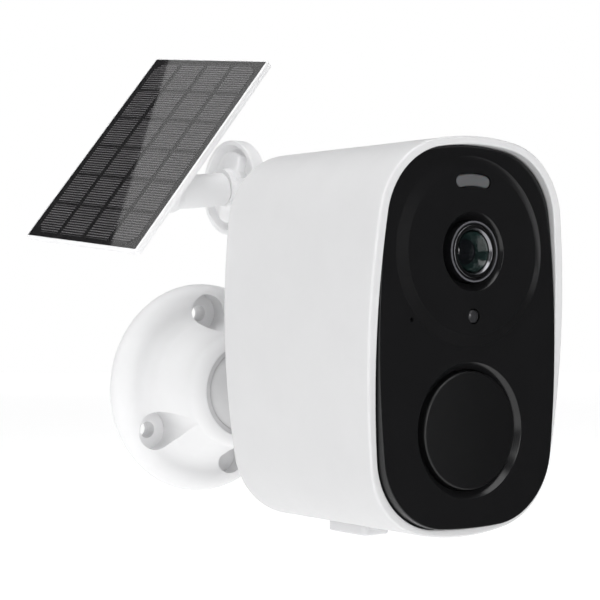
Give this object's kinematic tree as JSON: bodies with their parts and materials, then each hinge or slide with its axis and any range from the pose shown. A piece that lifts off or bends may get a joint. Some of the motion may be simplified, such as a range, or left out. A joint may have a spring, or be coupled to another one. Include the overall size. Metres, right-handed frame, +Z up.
{
  "type": "solar-powered security camera",
  "caption": "White bullet-style security camera on a ball-jointed wall base, with a small tilting solar panel carried beside it on its own short arm.",
  "frame": {"origin": "centre of the flat back face of the carrier plate, where it meets the wall", "axes": "+Y into the wall, -Y the way the camera looks, +Z up, +X to the right as seen by someone facing the camera"},
  "size_m": [0.0844, 0.1233, 0.122],
  "materials": {
    "white_shell": "satin",
    "port_plug_white": "satin",
    "strap_rubber": "matt",
    "white_base": "satin",
    "face_black": "polished",
    "window_frost": "frosted",
    "sensor_dome": "smooth",
    "barrel_black": "matt",
    "ring_metal": "polished",
    "lens_glass": "coated",
    "pir_cover": "frosted",
    "can_metal": "plain",
    "silicon": "polished",
    "board_green": "solder mask",
    "black_inner": "matt",
    "seal_rubber": "matt",
    "lamp_lens": "smooth",
    "antenna_film": "smooth",
    "cell_wrap": "smooth",
    "liner_plastic": "matt",
    "ball_grey": "satin",
    "screw_steel": "plated",
    "nut_white": "satin",
    "insert_brass": "plain",
    "carrier_paint": "powder coat",
    "bracket_white": "satin",
    "panel_white": "satin",
    "cell_dark": "smooth",
    "panel_glass": "clear",
    "outlet_black": "matt"
  },
  "bodies": {
    "base": {"carrier_plate": "carrier_paint", "wall_base": "white_base", "ball_clamp": "liner_plastic", "clamp_screws": "screw_steel", "solar_spacer": "bracket_white", "solar_base": "bracket_white", "spacer_screw": "screw_steel", "arm_screw": "screw_steel"},
    "liner": {"ball_liner": "liner_plastic"},
    "ball": {"ball_stud": "ball_grey", "stud_screw": "screw_steel"},
    "nut": {"lock_nut": "nut_white"},
    "head": {"housing_shell": "white_shell", "front_plate": "face_black", "lens_boss": "face_black", "light_window": "window_frost", "light_sensor_dome": "sensor_dome", "lens_barrel": "barrel_black", "lens_ring": "ring_metal", "front_lens": "lens_glass", "rear_lens": "lens_glass", "lens_holder": "barrel_black", "image_sensor": "silicon", "sensor_board": "board_green", "pir_lens": "pir_cover", "pir_sensor": "can_metal", "pir_board": "board_green", "chassis": "black_inner", "chassis_screws": "screw_steel", "front_seal": "seal_rubber", "light_board": "board_green", "spot_lamps": "lamp_lens", "main_board": "board_green", "processor_shield": "can_metal", "antenna": "antenna_film", "microphone": "black_inner", "battery_cells": "cell_wrap", "battery_holder": "black_inner", "speaker": "black_inner", "port_tray": "black_inner", "usb_socket": "can_metal", "plug_strap": "strap_rubber", "thread_insert": "insert_brass"},
    "plug": {"port_plug": "port_plug_white"},
    "button": {"reset_button": "black_inner"},
    "arm": {"solar_arm": "bracket_white"},
    "panel_joint": {"panel_ball": "bracket_white"},
    "panel": {"panel_tray": "panel_white", "cell_sheet": "cell_dark", "panel_glass": "panel_glass", "cable_box": "panel_white", "cable_outlet": "outlet_black"}
  },
  "joints": [
    {"name": "ball_pan", "type": "hinge", "parent": "base", "child": "liner", "pos_m": [0, -0.0207, 0], "axis": [0, 0, 1], "range_deg": [-20, 30]},
    {"name": "ball_tilt", "type": "hinge", "parent": "liner", "child": "ball", "pos_m": [0, -0.0207, 0], "axis": [-1, 0, 0], "range_deg": [-30, 10]},
    {"name": "head_roll", "type": "hinge", "parent": "ball", "child": "head", "pos_m": [0, -0.0207, 0], "axis": [0, 1, 0], "range_deg": [-180, 180]},
    {"name": "nut_turn", "type": "hinge", "parent": "ball", "child": "nut", "pos_m": [0, -0.05, 0], "axis": [0, 1, 0], "continuous": true},
    {"name": "plug_swing", "type": "hinge", "parent": "head", "child": "plug", "pos_m": [-0.0026, -0.09, -0.02973], "axis": [-1, 0, 0], "range_deg": [0, 95]},
    {"name": "reset_press", "type": "slide", "parent": "head", "child": "button", "axis": [0, 0, 1], "range_m": [0, 0.0006], "stiffness_N_per_m": 200},
    {"name": "solar_swivel", "type": "hinge", "parent": "base", "child": "arm", "pos_m": [-0.0026, -0.0264, 0.0541], "axis": [-0.9949, 0, -0.1011], "range_deg": [-30, 45]},
    {"name": "panel_tilt", "type": "hinge", "parent": "arm", "child": "panel_joint", "pos_m": [-0.02702, -0.0264, 0.05162], "axis": [-0.0296, 0.9561, 0.2917], "range_deg": [-40, 5]},
    {"name": "panel_turn", "type": "hinge", "parent": "panel_joint", "child": "panel", "pos_m": [-0.02702, -0.0264, 0.05162], "axis": [-0.7477, -0.2149, 0.6283], "range_deg": [-90, 90]}
  ]
}
